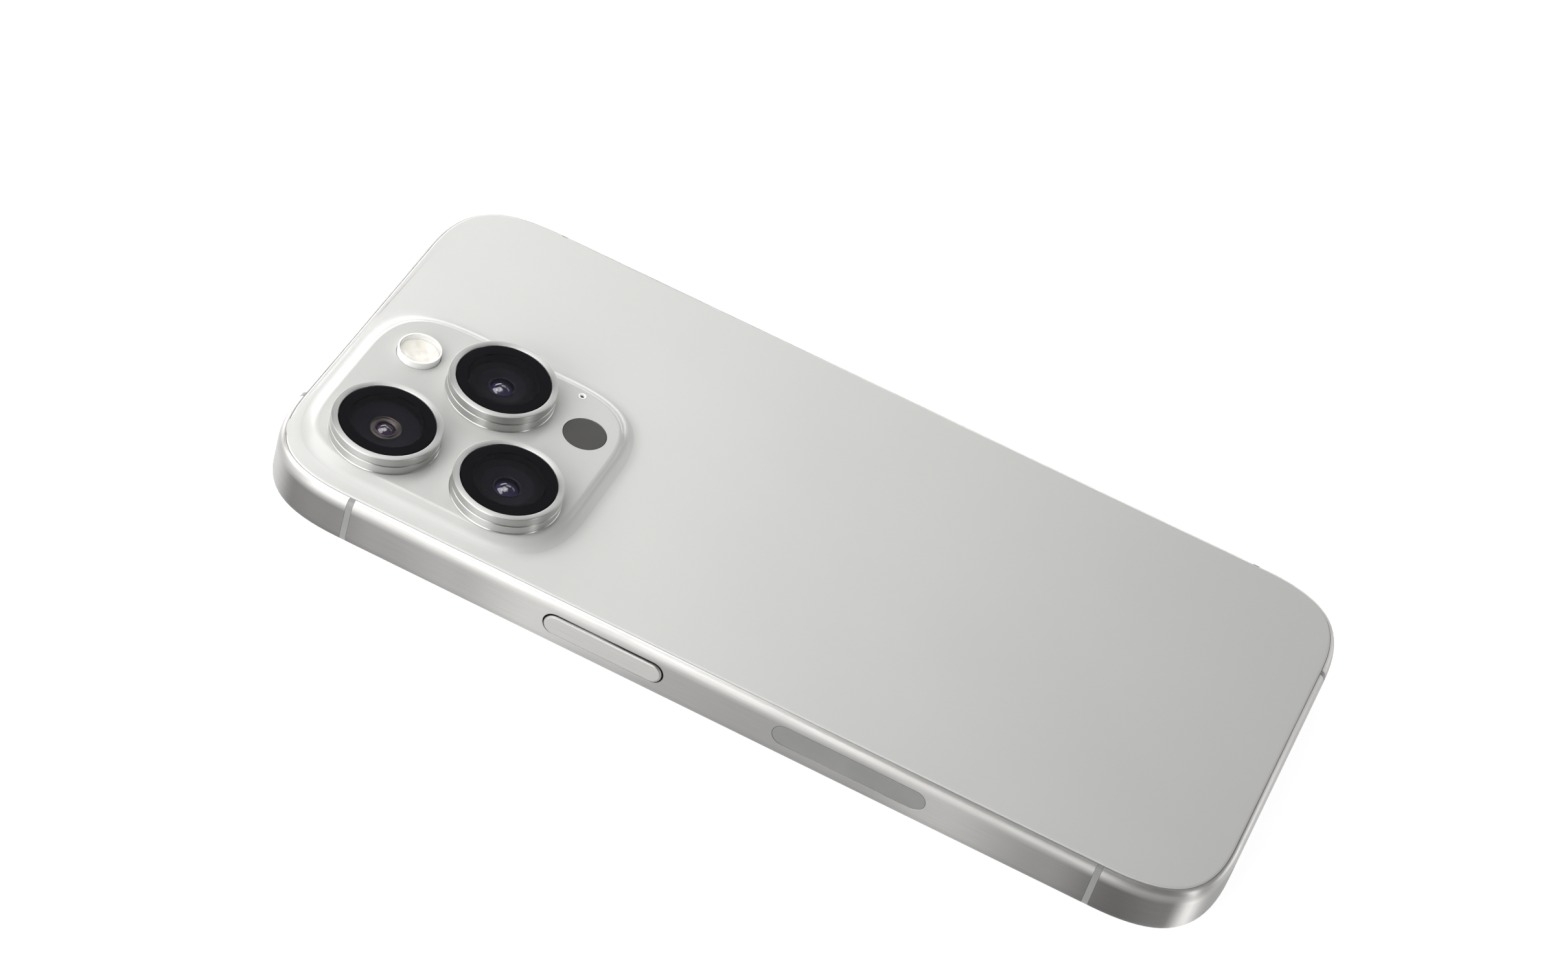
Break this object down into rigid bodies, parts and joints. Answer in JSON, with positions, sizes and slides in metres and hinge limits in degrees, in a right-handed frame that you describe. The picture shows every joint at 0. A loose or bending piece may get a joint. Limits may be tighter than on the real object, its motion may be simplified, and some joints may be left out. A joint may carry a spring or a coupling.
{
  "type": "smartphone",
  "caption": "Slim handheld touch-screen telephone with a titanium edge band, a matt glass back and a raised glass plateau carrying large ringed cameras.",
  "frame": {"origin": "centre of the display's outer face, which is the lowest face when the phone lies display down", "axes": "+Z out of the back, +Y towards the camera end, +X to the right as seen from behind"},
  "size_m": [0.0712, 0.1466, 0.0124],
  "materials": {
    "titanium": "finely brushed along the band, satin, warm natural grey",
    "back_glass": "opaque warm white glass, etched matt on the back, polished on the plateau",
    "dark_glass": "polished black glass",
    "display": "unlit display panel",
    "polished_ring": "fine circular brushing with polished edges",
    "ring_collar": "polished pale collar",
    "coated_lens": "polished with violet coating",
    "clear_lens": "clear moulded lens with fine facets",
    "phosphor": "matt yellow",
    "scanner_glass": "smoked, polished",
    "grey_plastic": "matt moulded",
    "black_plastic": "matt black",
    "black_mesh": "woven acoustic mesh",
    "rubber": "matt black gasket",
    "aluminium": "machined, satin",
    "steel": "stamped, satin",
    "port_steel": "drawn shell, satin",
    "switch_metal": "plated, satin",
    "battery_wrap": "matt black film",
    "board": "solder mask",
    "copper": "wound copper"
  },
  "bodies": {
    "chassis": {"antenna_band_bottom": "grey_plastic", "antenna_band_left_lower": "grey_plastic", "antenna_band_left_upper": "grey_plastic", "antenna_band_right_lower": "grey_plastic", "antenna_band_right_upper": "grey_plastic", "antenna_band_top": "grey_plastic", "antenna_window": "grey_plastic", "back_glass": "back_glass", "back_seal": "rubber", "battery": "battery_wrap", "board_shield": "steel", "charging_coil": "copper", "display_glass": "dark_glass", "display_panel": "display", "display_seal": "rubber", "earpiece_mesh": "black_mesh", "face_sensor": "steel", "flash_lamp": "phosphor", "flash_lens": "clear_lens", "flash_trim": "ring_collar", "front_camera_module": "steel", "haptic_housing": "steel", "logic_board": "board", "loudspeaker": "black_plastic", "magnet_ring": "steel", "main_collar": "ring_collar", "main_cover_glass": "dark_glass", "main_module": "steel", "main_ring": "polished_ring", "mid_plate": "aluminium", "port_screw_left": "steel", "port_screw_right": "steel", "port_shell": "port_steel", "port_tongue": "black_plastic", "rear_microphone_mesh": "black_mesh", "scanner_module": "steel", "scanner_window": "scanner_glass", "side_frame": "titanium", "side_switch": "switch_metal", "tele_collar": "ring_collar", "tele_cover_glass": "dark_glass", "tele_module": "steel", "tele_ring": "polished_ring", "ultrawide_collar": "ring_collar", "ultrawide_cover_glass": "dark_glass", "ultrawide_module": "steel", "ultrawide_ring": "polished_ring", "volume_switch": "switch_metal"},
    "side_button": {"side_button": "titanium"},
    "volume_up_button": {"volume_up_button": "titanium"},
    "volume_down_button": {"volume_down_button": "titanium"},
    "action_button": {"action_button": "titanium"},
    "haptic_mass": {"haptic_mass": "steel"},
    "front_camera_barrel": {"front_camera_barrel": "black_plastic"},
    "ultrawide_focus": {"ultrawide_barrel": "black_plastic", "ultrawide_front_element": "coated_lens"},
    "main_focus": {"main_barrel": "black_plastic", "main_front_element": "coated_lens"},
    "tele_focus": {"tele_barrel": "black_plastic", "tele_front_element": "coated_lens"}
  },
  "joints": [
    {"name": "side_button_press", "type": "slide", "parent": "chassis", "child": "side_button", "axis": [1, 0, 0], "range_m": [0, 0.00025], "stiffness_N_per_m": 900},
    {"name": "volume_up_press", "type": "slide", "parent": "chassis", "child": "volume_up_button", "axis": [-1, 0, 0], "range_m": [0, 0.00025], "stiffness_N_per_m": 900},
    {"name": "volume_down_press", "type": "slide", "parent": "chassis", "child": "volume_down_button", "axis": [-1, 0, 0], "range_m": [0, 0.00025], "stiffness_N_per_m": 900},
    {"name": "action_press", "type": "slide", "parent": "chassis", "child": "action_button", "axis": [-1, 0, 0], "range_m": [0, 0.00025], "stiffness_N_per_m": 900},
    {"name": "haptic_slide", "type": "slide", "parent": "chassis", "child": "haptic_mass", "axis": [1, 0, 0], "range_m": [-0.0008, 0.0008], "stiffness_N_per_m": 600},
    {"name": "ultrawide_focus_travel", "type": "slide", "parent": "chassis", "child": "ultrawide_focus", "axis": [0, 0, 1], "range_m": [0, 0.00025], "stiffness_N_per_m": 600},
    {"name": "main_focus_travel", "type": "slide", "parent": "chassis", "child": "main_focus", "axis": [0, 0, 1], "range_m": [0, 0.00025], "stiffness_N_per_m": 600},
    {"name": "tele_focus_travel", "type": "slide", "parent": "chassis", "child": "tele_focus", "axis": [0, 0, 1], "range_m": [0, 0.00025], "stiffness_N_per_m": 600},
    {"name": "front_camera_focus_travel", "type": "slide", "parent": "chassis", "child": "front_camera_barrel", "axis": [0, 0, -1], "range_m": [0, 0.0001], "stiffness_N_per_m": 600}
  ]
}
